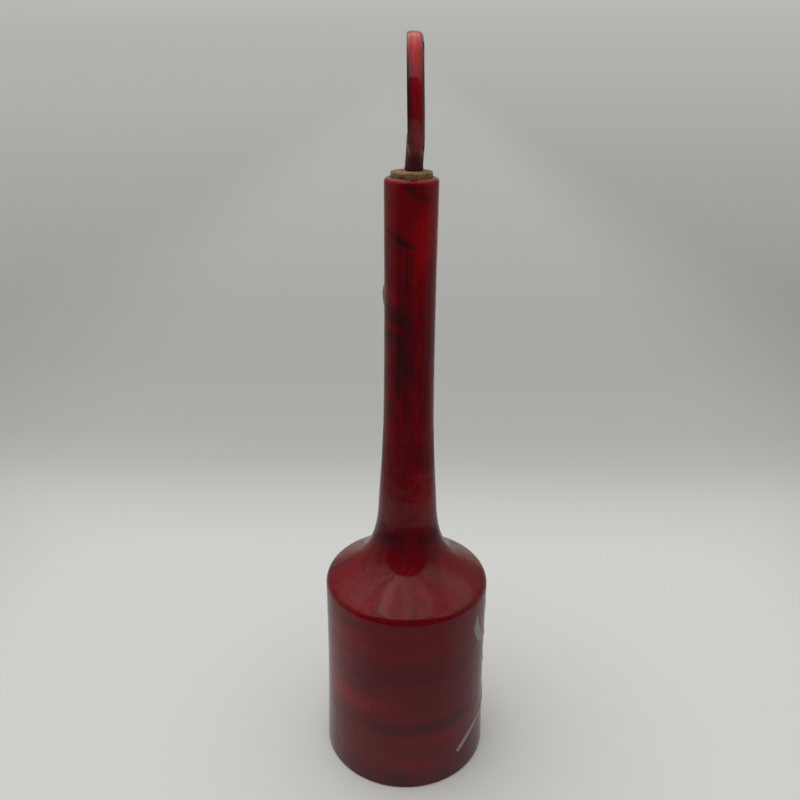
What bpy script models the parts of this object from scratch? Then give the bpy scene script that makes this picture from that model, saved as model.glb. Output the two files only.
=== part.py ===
# Tall glazed ceramic bottle, corked, with a flat round stopper standing on the cork.
# Metres, +Z up. The origin is the centre of the base, and the stopper's rim faces -Y.

import math

import bmesh
import bpy
from mathutils import Matrix, Vector
from mathutils.geometry import interpolate_bezier

# Body and shoulder
BASE_RADIUS = 0.0554
BASE_ROUND = 0.0012
SIDE_RADIUS = 0.0536
BODY_TOP_RADIUS = 0.0538
EDGE_ROUND = 0.0110
EDGE_ROUND_HEIGHT = 0.1279
EDGE_SLOPE = 50.4

# Neck, from the shoulder up to the rim. Slopes are degrees away from straight down
ROOT_RADIUS = 0.0323
ROOT_HEIGHT = 0.1480
ROOT_SLOPE = 47.6
FLARE_RADIUS = 0.0188
FLARE_HEIGHT = 0.1857
FLARE_SLOPE = 2.9
WAIST_RADIUS = 0.0152
WAIST_HEIGHT = 0.3345
RIM_RADIUS = 0.0155
RIM_HEIGHT = 0.3932
LIP_OUTER_ROUND = 0.0025
LIP_INNER_ROUND = 0.0009

# How far each curve runs on in its own direction past the points above
WAIST_PULL = 0.1190
FLARE_PULL_UP = 0.0468
FLARE_PULL_DOWN = 0.0228
ROOT_PULL_UP = 0.0071
ROOT_PULL_DOWN = 0.0055
EDGE_PULL = 0.0028

# Cork. It stands proud of the rim and its plug tapers down into the mouth
CORK_RADIUS = 0.01175
CORK_END_RADIUS = 0.0112
CORK_PROUD = 0.0030
CORK_LENGTH = 0.0300
CORK_CHAMFER = 0.0004

# Stopper, a disc seen edge-on from the front, on a short round peg that blends into it
DISC_RADIUS = 0.0320
DISC_THICKNESS = 0.0094
DISC_DOME = 0.00045
DISC_ROUND_RIGHT = 0.0038
DISC_ROUND_LEFT = 0.0011
DISC_CENTRE = (0.0018, 0.0035, 0.4354)
DISC_LEAN = -1.3
PEG_RADIUS = 0.0050
PEG_TOP_RADIUS = 0.0046
PEG_TOP_SPREAD = 2.2
PEG_FOOT_X = 0.00115
PEG_LEAN = 2.9
PEG_BURIED = 0.0130

# Clearance left between touching pieces
GAP = 0.0003

# Facets
TURN_STEPS = 64
CORK_STEPS = 48
DISC_FACE_STEPS = 4
PEG_STEPS = 32
STROKE_SPAN_STEPS = 4

# Raised strokes on the body: (degrees round from the front, height, half width)
STEM_PATH = [
    (41.0, 0.0200, 0.0015),
    (50.0, 0.0262, 0.0016),
    (61.0, 0.0310, 0.0016),
    (76.0, 0.0330, 0.0015),
    (91.0, 0.0415, 0.0014),
    (100.5, 0.0600, 0.0012),
    (103.0, 0.0850, 0.0006),
]
CURL_PATH = [
    (59.5, 0.1205, 0.0005),
    (59.3, 0.1120, 0.0036),
    (62.8, 0.1040, 0.0036),
    (69.0, 0.0975, 0.0032),
    (79.0, 0.0930, 0.0024),
    (92.0, 0.0925, 0.0006),
]
PETAL_PATH = [
    (88.0, 0.1190, 0.0005),
    (87.0, 0.1130, 0.0022),
    (90.0, 0.1060, 0.0024),
    (97.5, 0.0980, 0.0006),
]
FLOWER_MIDDLE = 103.0
STEM_RELIEF = 0.45
FLOWER_RELIEF = 0.20

# Leaves beside the stem: (degrees round, height of the leaf's foot, lean in degrees)
LEAF_FEET = [(93.0, 0.0530, -30.0), (104.5, 0.0620, 44.0), (96.0, 0.0405, 64.0)]
LEAF_LENGTH = 0.0210
LEAF_HALF_WIDTH = 0.0026
LEAF_BOW = 0.0028
LEAF_RELIEF = 0.25

# Drops on the neck's left side: (degrees round, height of the middle)
NECK_DROPS = [(-95.0, 0.3255), (-122.0, 0.3085), (-149.0, 0.2915)]
NECK_DROP_LENGTH = 0.0135
NECK_DROP_HALF_WIDTH = 0.0025
NECK_DROP_RELIEF = 0.52

# Swirl on the disc's right face: (degrees from straight down, radius, half width)
SWIRL_PATH = [
    (17.0, 0.0288, 0.0006),
    (31.0, 0.0286, 0.0014),
    (50.0, 0.0240, 0.0019),
    (72.0, 0.0170, 0.0019),
    (100.0, 0.0100, 0.0007),
]
SWIRL_COUNT = 3
SWIRL_RELIEF = 0.16

CORK_TOP = RIM_HEIGHT + CORK_PROUD
CORK_BOTTOM = CORK_TOP - CORK_LENGTH


def clear_scene():
    for old in list(bpy.data.objects):
        bpy.data.objects.remove(old, do_unlink=True)


def new_collection(name):
    collection = bpy.data.collections.new(name)
    bpy.context.scene.collection.children.link(collection)
    return collection


def new_material(name, colour, roughness, metallic):
    material = bpy.data.materials.new(name)
    material.use_nodes = True
    material.diffuse_color = (*colour, 1.0)
    shader = material.node_tree.nodes["Principled BSDF"]
    shader.inputs["Base Color"].default_value = (*colour, 1.0)
    shader.inputs["Roughness"].default_value = roughness
    shader.inputs["Metallic"].default_value = metallic
    return material


def new_object(name, mesh, material, collection):
    mesh.materials.clear()
    mesh.materials.append(material)
    mesh.shade_smooth()
    mesh.set_sharp_from_angle(angle=math.radians(35.0))
    piece = bpy.data.objects.new(name, mesh)
    collection.objects.link(piece)
    return piece


def heading(slope):
    """Direction of an outline that runs down and out, slope degrees away from straight down."""
    angle = math.radians(slope)
    return Vector((math.sin(angle), -math.cos(angle)))


def arc(centre, radius, start, end, steps):
    """Points of a round, by angle in degrees up from the outward direction."""
    points = []
    for step in range(steps + 1):
        angle = math.radians(start + (end - start) * step / steps)
        points.append(Vector((centre[0] + radius * math.cos(angle), centre[1] + radius * math.sin(angle))))
    return points


def bend(start, start_handle, end_handle, end, steps):
    """Points of one smooth curve, without its first point, which the run before it holds."""
    return [Vector(point) for point in interpolate_bezier(start, start_handle, end_handle, end, steps + 1)][1:]


def bottle_side():
    """Outer outline from the rim down to the base, as (radius, height) points."""
    waist = Vector((WAIST_RADIUS, WAIST_HEIGHT))
    flare = Vector((FLARE_RADIUS, FLARE_HEIGHT))
    root = Vector((ROOT_RADIUS, ROOT_HEIGHT))
    edge_centre = (BODY_TOP_RADIUS - EDGE_ROUND, EDGE_ROUND_HEIGHT)
    edge = arc(edge_centre, EDGE_ROUND, EDGE_SLOPE, 0.0, 6)
    base_centre = (BASE_RADIUS - BASE_ROUND, BASE_ROUND)
    base = arc(base_centre, BASE_ROUND, 0.0, -90.0, 3)
    lip_centre = (RIM_RADIUS - LIP_OUTER_ROUND, RIM_HEIGHT - LIP_OUTER_ROUND)

    side = arc(lip_centre, LIP_OUTER_ROUND, 90.0, 0.0, 5)
    side.append(waist)
    side += bend(
        waist,
        waist + WAIST_PULL * heading(0.0),
        flare - FLARE_PULL_UP * heading(FLARE_SLOPE),
        flare,
        11,
    )
    side += bend(
        flare,
        flare + FLARE_PULL_DOWN * heading(FLARE_SLOPE),
        root - ROOT_PULL_UP * heading(ROOT_SLOPE),
        root,
        11,
    )
    side += bend(
        root,
        root + ROOT_PULL_DOWN * heading(ROOT_SLOPE),
        edge[0] - EDGE_PULL * heading(EDGE_SLOPE),
        edge[0],
        3,
    )
    side += edge[1:]
    side_handle = Vector((SIDE_RADIUS, EDGE_ROUND_HEIGHT / 2.0))
    side += bend(edge[-1], side_handle, side_handle, base[0], 5)
    side += base[1:]
    return side


def side_radius(side, height):
    """Radius of the outer outline at a height, between its points."""
    for upper, lower in zip(side, side[1:]):
        if lower.y <= height <= upper.y and upper.y > lower.y:
            share = (height - lower.y) / (upper.y - lower.y)
            return lower.x + share * (upper.x - lower.x)
    return side[-1].x


def turned(name, outline, steps, material, collection):
    """Solid of revolution about local Z from an outline that runs down its outer side."""
    mesh = bpy.data.meshes.new(name)
    points = [(point[0], 0.0, point[1]) for point in outline]
    edges = [(index, index + 1) for index in range(len(points) - 1)]
    mesh.from_pydata(points, edges, [])
    piece = new_object(name, mesh, material, collection)
    screw = piece.modifiers.new("Turn", "SCREW")
    screw.axis = "Z"
    screw.steps = steps
    screw.render_steps = steps
    screw.use_merge_vertices = True
    screw.merge_threshold = 0.00001
    screw.use_smooth_shade = True
    return piece


def make_bottle(side, material, collection):
    mouth_radius = CORK_RADIUS + GAP
    well_radius = CORK_END_RADIUS + GAP
    well_bottom = CORK_BOTTOM - GAP
    lip_centre = (mouth_radius + LIP_INNER_ROUND, RIM_HEIGHT - LIP_INNER_ROUND)
    outline = [Vector((0.0, well_bottom)), Vector((well_radius, well_bottom))]
    outline += arc(lip_centre, LIP_INNER_ROUND, 180.0, 90.0, 2)
    outline += side
    outline.append(Vector((0.0, 0.0)))
    return turned("bottle", outline, TURN_STEPS, material, collection)


def make_cork(material, collection):
    outline = [
        (0.0, CORK_TOP),
        (CORK_RADIUS - CORK_CHAMFER, CORK_TOP),
        (CORK_RADIUS, CORK_TOP - CORK_CHAMFER),
        (CORK_RADIUS, RIM_HEIGHT - LIP_INNER_ROUND),
        (CORK_END_RADIUS, CORK_BOTTOM + CORK_CHAMFER),
        (CORK_END_RADIUS - CORK_CHAMFER, CORK_BOTTOM),
        (0.0, CORK_BOTTOM),
    ]
    return turned("cork", outline, CORK_STEPS, material, collection)


def make_peg(material, collection):
    """Short leaning peg that spreads along the disc it is buried in, with its foot level on the cork."""
    foot = CORK_TOP + GAP
    height = DISC_CENTRE[2] - DISC_RADIUS + PEG_BURIED - foot
    mesh = bpy.data.meshes.new("peg")
    shape = bmesh.new()
    bmesh.ops.create_cone(
        shape,
        cap_ends=True,
        segments=PEG_STEPS,
        radius1=PEG_RADIUS,
        radius2=PEG_TOP_RADIUS,
        depth=height,
        matrix=Matrix.Translation((0.0, 0.0, height / 2.0)),
    )
    top = [vert for vert in shape.verts if vert.co.z > height / 2.0]
    bmesh.ops.scale(shape, vec=(1.0, PEG_TOP_SPREAD, 1.0), verts=top)
    lean = Matrix.Identity(4)
    lean[0][2] = math.tan(math.radians(PEG_LEAN))
    bmesh.ops.transform(shape, matrix=lean, verts=shape.verts)
    shape.to_mesh(mesh)
    shape.free()
    peg = new_object("peg", mesh, material, collection)
    peg.location = (PEG_FOOT_X, DISC_CENTRE[1], foot)
    peg.hide_render = True
    peg.display_type = "WIRE"
    return peg


def disc_face(radius):
    """Height of the disc's slightly domed right face over its middle plane, at a radius."""
    return DISC_THICKNESS / 2.0 - DISC_DOME * (radius / DISC_RADIUS) ** 2


def make_stopper(centre, peg, material, collection):
    half = DISC_THICKNESS / 2.0
    round_start = DISC_RADIUS - DISC_ROUND_RIGHT
    face_radii = [round_start * step / DISC_FACE_STEPS for step in range(DISC_FACE_STEPS)]
    outline = [Vector((radius, disc_face(radius))) for radius in face_radii]
    outline += arc((round_start, disc_face(round_start) - DISC_ROUND_RIGHT), DISC_ROUND_RIGHT, 90.0, 0.0, 4)
    outline += arc((DISC_RADIUS - DISC_ROUND_LEFT, DISC_ROUND_LEFT - half), DISC_ROUND_LEFT, 0.0, -90.0, 3)
    outline.append(Vector((0.0, -half)))
    disc = turned("stopper", outline, TURN_STEPS, material, collection)
    disc.parent = centre
    disc.rotation_euler = (0.0, math.radians(90.0), 0.0)
    join = disc.modifiers.new("Peg", "BOOLEAN")
    join.operation = "UNION"
    join.solver = "EXACT"
    join.object = peg
    return disc


def smooth_path(points):
    """Catmull-Rom curve through the given points, keeping every value of a point."""
    run = [points[0]] + list(points) + [points[-1]]
    result = []
    for before, start, end, after in zip(run, run[1:], run[2:], run[3:]):
        for step in range(STROKE_SPAN_STEPS):
            t = step / STROKE_SPAN_STEPS
            weights = (
                -0.5 * t + t**2 - 0.5 * t**3,
                1.0 - 2.5 * t**2 + 1.5 * t**3,
                0.5 * t + 2.0 * t**2 - 1.5 * t**3,
                -0.5 * t**2 + 0.5 * t**3,
            )
            knots = zip(before, start, end, after)
            result.append(tuple(sum(w * v for w, v in zip(weights, values)) for values in knots))
    result.append(tuple(points[-1]))
    return result


def raised_stroke(name, path, relief, place, material, collection):
    """Rounded bead along a flat path of (across, up, half width), laid on a surface by place()."""
    curve = bpy.data.curves.new(name + "_line", "CURVE")
    curve.dimensions = "3D"
    curve.bevel_depth = 1.0
    curve.bevel_resolution = 2
    curve.use_fill_caps = True
    points = smooth_path(path)
    spline = curve.splines.new("POLY")
    spline.points.add(len(points) - 1)
    for knot, (across, up, half_width) in zip(spline.points, points):
        knot.co = (across, up, 0.0, 1.0)
        knot.radius = half_width
    line = bpy.data.objects.new(name + "_line", curve)
    collection.objects.link(line)
    depsgraph = bpy.context.evaluated_depsgraph_get()
    mesh = bpy.data.meshes.new_from_object(line.evaluated_get(depsgraph))
    bpy.data.objects.remove(line, do_unlink=True)
    mesh.name = name

    shape = bmesh.new()
    shape.from_mesh(mesh)
    bmesh.ops.remove_doubles(shape, verts=shape.verts, dist=0.00001)
    bmesh.ops.recalc_face_normals(shape, faces=shape.faces)
    for vert in shape.verts:
        lift = GAP + max(0.0, vert.co.z) * relief
        vert.co = place(vert.co.x, vert.co.y, lift)
    shape.to_mesh(mesh)
    shape.free()
    return new_object(name, mesh, material, collection)


def around(side, middle_degrees, middle_height):
    """Placer that lays flat (across, up) on the turned side, round a middle point on it."""
    reference = side_radius(side, middle_height)

    def place(across, up, lift):
        angle = math.radians(middle_degrees) + across / reference
        height = middle_height + up
        radius = side_radius(side, height) + lift
        return Vector((radius * math.sin(angle), -radius * math.cos(angle), height))

    return place


def flat_path(side, path, middle_degrees, middle_height):
    """Turns (degrees, height, half width) into a flat path round the same middle point."""
    reference = side_radius(side, middle_height)
    return [
        (math.radians(degrees - middle_degrees) * reference, height - middle_height, half_width)
        for degrees, height, half_width in path
    ]


def leaf_path(length, half_width, bow, lean):
    """Comma stroke from its foot up: thin, full past the middle, pointed, and bowed sideways."""
    angle = math.radians(lean)
    path = []
    for share, width in ((0.0, 0.25), (0.3, 0.75), (0.62, 1.0), (0.86, 0.7), (1.0, 0.2)):
        along = share * length
        aside = bow * math.sin(math.pi * share)
        across = along * math.sin(angle) + aside * math.cos(angle)
        up = along * math.cos(angle) - aside * math.sin(angle)
        path.append((across, up, width * half_width))
    return path


def make_body_strokes(side, material, collection):
    flower = []
    for name, path in (("curl", CURL_PATH), ("petal", PETAL_PATH)):
        mirrored = [(2.0 * FLOWER_MIDDLE - degrees, height, width) for degrees, height, width in path]
        flower += [(f"stroke_{name}_1", path, FLOWER_RELIEF), (f"stroke_{name}_2", mirrored, FLOWER_RELIEF)]
    for name, path, relief in [("stroke_stem", STEM_PATH, STEM_RELIEF)] + flower:
        degrees, height, _ = path[len(path) // 2]
        flat = flat_path(side, path, degrees, height)
        raised_stroke(name, flat, relief, around(side, degrees, height), material, collection)
    for number, (degrees, height, lean) in enumerate(LEAF_FEET, 1):
        bow = math.copysign(LEAF_BOW, -lean)
        path = leaf_path(LEAF_LENGTH, LEAF_HALF_WIDTH, bow, lean)
        place = around(side, degrees, height)
        raised_stroke(f"stroke_leaf_{number}", path, LEAF_RELIEF, place, material, collection)


def make_neck_strokes(side, material, collection):
    for number, (degrees, height) in enumerate(NECK_DROPS, 1):
        path = leaf_path(NECK_DROP_LENGTH, NECK_DROP_HALF_WIDTH, 0.0, 0.0)
        place = around(side, degrees, height - NECK_DROP_LENGTH / 2.0)
        raised_stroke(f"stroke_neck_{number}", path, NECK_DROP_RELIEF, place, material, collection)


def make_disc_strokes(centre, material, collection):
    def place(across, up, lift):
        return Vector((disc_face(math.hypot(across, up)) + lift, across, up))

    for number in range(SWIRL_COUNT):
        turn = 360.0 / SWIRL_COUNT * number
        path = []
        for degrees, radius, half_width in SWIRL_PATH:
            angle = math.radians(degrees + turn)
            path.append((-radius * math.sin(angle), -radius * math.cos(angle), half_width))
        name = f"stroke_disc_{number + 1}"
        petal = raised_stroke(name, path, SWIRL_RELIEF, place, material, collection)
        petal.parent = centre


def main():
    clear_scene()
    parts = new_collection("ceramic_bottle")
    cutters = new_collection("cutters")
    glaze = new_material("red_glaze", (0.16, 0.012, 0.014), 0.12, 0.0)
    bark = new_material("cork_bark", (0.30, 0.19, 0.11), 0.85, 0.0)
    silver = new_material("silver_bead", (0.42, 0.41, 0.39), 0.35, 1.0)

    side = bottle_side()
    make_bottle(side, glaze, parts)
    make_cork(bark, parts)

    centre = bpy.data.objects.new("stopper_centre", None)
    centre.location = DISC_CENTRE
    centre.rotation_euler = (0.0, math.radians(DISC_LEAN), 0.0)
    parts.objects.link(centre)
    peg = make_peg(glaze, cutters)
    make_stopper(centre, peg, glaze, parts)

    make_body_strokes(side, silver, parts)
    make_neck_strokes(side, silver, parts)
    make_disc_strokes(centre, silver, parts)


main()
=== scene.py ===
import math

import bpy
from mathutils import Matrix, Vector
from mathutils.geometry import interpolate_bezier


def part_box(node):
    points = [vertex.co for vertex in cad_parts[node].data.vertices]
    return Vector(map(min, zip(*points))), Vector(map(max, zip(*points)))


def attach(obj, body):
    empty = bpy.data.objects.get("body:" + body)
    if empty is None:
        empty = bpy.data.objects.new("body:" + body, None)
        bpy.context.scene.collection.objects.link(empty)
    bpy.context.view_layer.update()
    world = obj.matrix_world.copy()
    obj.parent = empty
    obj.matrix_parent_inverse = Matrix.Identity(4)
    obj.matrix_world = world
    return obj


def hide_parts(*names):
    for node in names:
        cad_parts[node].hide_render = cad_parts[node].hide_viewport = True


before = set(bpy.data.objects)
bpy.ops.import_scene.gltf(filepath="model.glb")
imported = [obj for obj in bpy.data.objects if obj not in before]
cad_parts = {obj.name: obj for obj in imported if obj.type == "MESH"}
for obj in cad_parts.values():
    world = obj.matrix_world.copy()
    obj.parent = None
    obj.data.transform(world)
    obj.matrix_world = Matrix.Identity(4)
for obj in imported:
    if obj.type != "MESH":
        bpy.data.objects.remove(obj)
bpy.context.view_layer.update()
print("frame loaded:", len(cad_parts), "nodes")

mm = 0.001  # the dictionaries below are in millimetres and degrees


# Small helpers for modelling with operators

def onlyThis(piece):
    bpy.ops.object.select_all(action="DESELECT")
    piece.select_set(True)
    bpy.context.view_layer.objects.active = piece


def applyModifiers(piece):
    onlyThis(piece)
    for name in [modifier.name for modifier in piece.modifiers]:
        bpy.ops.object.modifier_apply(modifier=name)


def smoothShade(piece, angle):
    onlyThis(piece)
    bpy.ops.object.shade_smooth_by_angle(angle=math.radians(angle))


def cleanShell(mergeDistance):
    # run in edit mode on a turned or joined shape
    bpy.ops.mesh.select_all(action="SELECT")
    bpy.ops.mesh.remove_doubles(threshold=mergeDistance)
    bpy.ops.mesh.normals_make_consistent(inside=False)


def turnOutline(name, outline, steps):
    # one point, extruded along the outline from top to bottom, then spun round Z
    bpy.ops.object.select_all(action="DESELECT")
    start = outline[0]
    bpy.ops.mesh.primitive_plane_add(size=0.001, location=(start[0], 0.0, start[1]))
    piece = bpy.context.object
    piece.name = name
    bpy.ops.object.transform_apply(location=True, rotation=False, scale=False)
    bpy.ops.object.mode_set(mode="EDIT")
    bpy.ops.mesh.select_all(action="SELECT")
    bpy.ops.mesh.merge(type="CENTER")
    for here, there in zip(outline, outline[1:]):
        step = (there[0] - here[0], 0.0, there[1] - here[1])
        bpy.ops.mesh.extrude_region_move(TRANSFORM_OT_translate={"value": step})
    bpy.ops.mesh.select_all(action="SELECT")
    bpy.ops.mesh.spin(steps=steps, angle=math.tau, center=(0.0, 0.0, 0.0), axis=(0.0, 0.0, 1.0))
    cleanShell(0.000002)
    bpy.ops.object.mode_set(mode="OBJECT")
    return piece


def heading(slope):
    # direction of an outline that runs down and out, slope degrees away from straight down
    return Vector((math.sin(math.radians(slope)), -math.cos(math.radians(slope))))


def roundCorner(centre, radius, fromAngle, toAngle, steps):
    points = []
    for step in range(steps + 1):
        angle = math.radians(fromAngle + (toAngle - fromAngle) * step / steps)
        points.append(Vector((centre[0] + radius * math.cos(angle), centre[1] + radius * math.sin(angle))))
    return points


def sweep(start, startHandle, endHandle, end, steps):
    return [Vector(p) for p in interpolate_bezier(start, startHandle, endHandle, end, steps + 1)][1:]


# Small helpers for node trees

def addNode(tree, kind, inputs=None, **settings):
    made = tree.nodes.new(kind)
    for key, value in settings.items():
        setattr(made, key, value)
    for key, value in (inputs or {}).items():
        if isinstance(value, bpy.types.NodeSocket):
            tree.links.new(value, made.inputs[key])
        else:
            made.inputs[key].default_value = value
    return made


def sums(tree, operation, first, second=None, third=None, clamp=False):
    values = {}
    for index, value in enumerate((first, second, third)):
        if value is not None:
            values[index] = value
    return addNode(tree, "ShaderNodeMath", values, operation=operation, use_clamp=clamp).outputs[0]


def vectorSums(tree, operation, first, second):
    made = addNode(tree, "ShaderNodeVectorMath", {0: first, 1: second}, operation=operation)
    return made.outputs["Value"] if operation in ("LENGTH", "DOT_PRODUCT") else made.outputs["Vector"]


def fade(tree, value, low, high, atLow=0.0, atHigh=1.0):
    # smooth step between two values of the input
    made = addNode(
        tree,
        "ShaderNodeMapRange",
        {"Value": value, "From Min": low, "From Max": high, "To Min": atLow, "To Max": atHigh},
        interpolation_type="SMOOTHSTEP",
    )
    return made.outputs["Result"]


def blendColours(tree, amount, first, second, mode="MIX"):
    made = addNode(tree, "ShaderNodeMix", data_type="RGBA", blend_type=mode)
    for key, value in ((0, amount), (6, first), (7, second)):
        if isinstance(value, bpy.types.NodeSocket):
            tree.links.new(value, made.inputs[key])
        else:
            made.inputs[key].default_value = value
    return made.outputs[2]


def newGroup(name, inputs, outputs):
    tree = bpy.data.node_groups.new(name, "ShaderNodeTree")
    for socketName, kind, value in inputs:
        socket = tree.interface.new_socket(socketName, in_out="INPUT", socket_type=kind)
        if value is not None:
            socket.default_value = value
    for socketName, kind in outputs:
        tree.interface.new_socket(socketName, in_out="OUTPUT", socket_type=kind)
    groupIn = tree.nodes.new("NodeGroupInput")
    groupOut = tree.nodes.new("NodeGroupOutput")
    return tree, groupIn.outputs, groupOut.inputs


def placeGroup(tree, group, inputs):
    made = tree.nodes.new("ShaderNodeGroup")
    made.node_tree = group
    for key, value in inputs.items():
        if isinstance(value, bpy.types.NodeSocket):
            tree.links.new(value, made.inputs[key])
        else:
            made.inputs[key].default_value = value
    return made.outputs


def noise(tree, place, scale, detail, roughness=0.5):
    values = {"Vector": place, "Scale": scale, "Detail": detail, "Roughness": roughness}
    return addNode(tree, "ShaderNodeTexNoise", values).outputs["Fac"]


def addBump(tree, shader, strength, depth, height):
    bump = addNode(tree, "ShaderNodeBump", {"Strength": strength, "Distance": depth, "Height": height})
    tree.links.new(bump.outputs["Normal"], shader.inputs["Normal"])


def newMaterial(name):
    material = bpy.data.materials.new(name)
    material.use_nodes = True
    tree = material.node_tree
    return material, tree, tree.nodes["Principled BSDF"]


def ramp(tree, value, stops, mode="LINEAR"):
    made = addNode(tree, "ShaderNodeValToRGB", {"Fac": value})
    made.color_ramp.interpolation = mode
    elements = made.color_ramp.elements
    elements[0].position, elements[0].color = stops[0][0], (*stops[0][1], 1.0)
    elements[1].position, elements[1].color = stops[-1][0], (*stops[-1][1], 1.0)
    for position, colour in stops[1:-1]:
        elements.new(position).color = (*colour, 1.0)
    return made.outputs["Color"]


# Camera, found from how the rings of the turned body sit in the picture

cameraValues = {
    "place": (0.0, -0.4717, 0.4545),
    "lookDown": 22.468,
    "turn": 0.656,
    "roll": 0.481,
    "lens": 37.35,
}


def makeCamera():
    cameraData = bpy.data.cameras.new("photoCamera")
    cameraData.lens = cameraValues["lens"]
    cameraData.sensor_width = 36.0
    camera = bpy.data.objects.new("photoCamera", cameraData)
    bpy.context.scene.collection.objects.link(camera)
    turn = Matrix.Rotation(math.radians(cameraValues["turn"]), 4, "Z")
    tip = Matrix.Rotation(math.radians(90.0 - cameraValues["lookDown"]), 4, "X")
    roll = Matrix.Rotation(math.radians(cameraValues["roll"]), 4, "Z")
    camera.matrix_world = Matrix.Translation(cameraValues["place"]) @ turn @ tip @ roll
    bpy.context.scene.camera = camera


# Studio: a pale floor that dims softly away from the bottle, and a light tent that lights and mirrors

studio = {
    "floorSize": 400.0,
    # distance from the bottle and the floor's grey there: a painted light falloff, brightest near the bottle
    # under the tent light
    "floorTones": [(0.0, 0.83), (0.16, 0.83), (0.25, 0.815), (0.34, 0.72), (0.383, 0.657), (0.436, 0.59),
                   (0.52, 0.54), (0.76, 0.51), (1.1, 0.515), (1.6, 0.54), (2.6, 0.56), (5.6, 0.58)],
    "floorTonesReach": 5.6, "floorTint": (1.0, 1.003, 0.975),
    "floorWider": 1.3, "floorCorners": 0.12,
    # the floor's right and left ends lie further from the light: (from, to, share lost), less so far away
    "floorRightEnd": (0.35, 0.85, 0.34),
    "floorLeftEnd": (-0.35, -0.85, 0.22),
    "floorEndsFor": 2.5,
    # the camera sees these greys above the floor's far end: level, and some degrees up
    "backdropLow": (0.441, 0.446, 0.426),
    "backdropHigh": (0.53, 0.535, 0.512),
    "backdropRise": 6.0,
}

# the light that falls on everything: a bright tent top, dim walls and a dark open front
tentLight = {
    "skyTone": (1.02, 1.02, 1.0), "skyLeftward": 0.50,
    "wallTone": (0.22, 0.22, 0.215), "frontTone": (0.035, 0.035, 0.035),
    "skyFrom": 33.0, "skySoft": 2.5, "frontHalfAngle": 62.0, "frontLow": -12.0, "frontSoft": 0.22,
}

# the same tent as the glaze mirrors it
tentMirror = {
    # folds of the top run front to back: how far sideways for one up, and their brightness
    "folds": [(-1.6, 0.55), (-1.05, 0.50), (-0.90, 0.62), (-0.78, 0.84), (-0.68, 0.76), (-0.57, 0.34),
              (-0.48, 0.55), (-0.41, 1.15), (-0.34, 1.55), (-0.27, 0.95), (-0.16, 0.66), (-0.05, 0.82),
              (0.03, 1.02), (0.11, 0.64), (0.22, 0.66), (0.36, 0.84), (0.48, 0.42), (0.60, 0.42),
              (0.80, 0.62), (1.60, 0.62)],
    "foldsReach": 1.6, "foldsBrightest": 2.0, "foldsLowest": 0.05,
    "backBrighter": 0.45,
    "topFrom": 27.0, "topFull": 41.0,
    # brightness of the sides by degrees up, beside the bottle, behind it, and straight behind
    "beside": [(-90.0, 0.12), (-22.0, 0.13), (-8.0, 0.22), (5.0, 0.27), (12.0, 0.34), (24.0, 0.50),
               (30.0, 0.62), (40.0, 0.70), (90.0, 0.70)],
    # low down it darkens towards the open front: from and to degrees round, and the share left
    "frontward": (50.0, 118.0, 0.30), "frontwardUntil": (5.0, 28.0),
    "warmth": (1.0, 1.0, 0.94, 1.0),
    "behind": [(-90.0, 0.25), (-20.0, 0.24), (5.0, 0.16), (20.0, 0.24), (30.0, 0.32), (40.0, 0.52),
               (90.0, 0.60)],
    "straightBack": [(-90.0, 0.40), (-20.0, 0.40), (5.0, 0.36), (30.0, 0.36), (40.0, 0.52), (90.0, 0.60)],
    "besideUntil": (102.0, 116.0), "behindUntil": (146.0, 156.0),
    # the dark open front: a standing oval
    "frontAway": 1.10, "frontHalfWidth": 2.0, "frontHalfHeight": 1.21, "frontTone": 0.012,
    # the lit floor near the bottle
    "floorRadius": 0.54, "floorLift": 0.0002,
    "floorTones": [(0.055, 0.74), (0.10, 0.60), (0.20, 0.47), (0.43, 0.44), (0.48, 0.26), (0.54, 0.13)],
    # it is dimmer towards the front, by how far forward and how far away, and to the right
    "floorFront": (0.3, 0.95), "floorFrontFrom": (0.05, 0.20), "floorFrontLess": 0.32,
    "floorRight": (0.0, 0.9), "floorRightLess": 0.12,
}


def makeFloor():
    material, tree, shader = newMaterial("paleFloor")
    place = addNode(tree, "ShaderNodeTexCoord").outputs["Object"]
    parts = addNode(tree, "ShaderNodeSeparateXYZ", {"Vector": place}).outputs
    wide = sums(tree, "DIVIDE", sums(tree, "ABSOLUTE", parts["X"]), studio["floorWider"])
    deep = sums(tree, "ABSOLUTE", parts["Y"])
    away = sums(tree, "SMOOTH_MAX", wide, deep, studio["floorCorners"])
    reach = studio["floorTonesReach"]
    share = sums(tree, "SQRT", sums(tree, "DIVIDE", away, reach))
    stops = [(math.sqrt(distance / reach), tuple(tone * part for part in studio["floorTint"]))
             for distance, tone in studio["floorTones"]]
    # painted light falloff: the floor's grey by distance from the bottle, then painted shade towards its
    # right and left ends
    tones = ramp(tree, share, stops)
    ends = studio["floorEndsFor"]
    nearer = sums(tree, "DIVIDE", ends, sums(tree, "ADD", away, ends))
    for low, high, lost in (studio["floorRightEnd"], studio["floorLeftEnd"]):
        less = sums(tree, "MULTIPLY", fade(tree, parts["X"], low, high, 0.0, lost), nearer)
        tones = blendColours(tree, 1.0, tones, sums(tree, "SUBTRACT", 1.0, less), "MULTIPLY")
    tree.links.new(tones, shader.inputs["Base Color"])
    shader.inputs["Roughness"].default_value = 0.9
    shader.inputs["Specular IOR Level"].default_value = 0.1

    bpy.ops.object.select_all(action="DESELECT")
    bpy.ops.mesh.primitive_plane_add(size=studio["floorSize"])
    floor = bpy.context.object
    floor.name = "studioFloor"
    floor.data.materials.append(material)
    floor.visible_glossy = False


def mirroredOnly(piece, material):
    # only reflections see it
    piece.data.materials.append(material)
    piece.visible_camera = False
    piece.visible_diffuse = False
    piece.visible_transmission = False
    piece.visible_shadow = False


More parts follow.
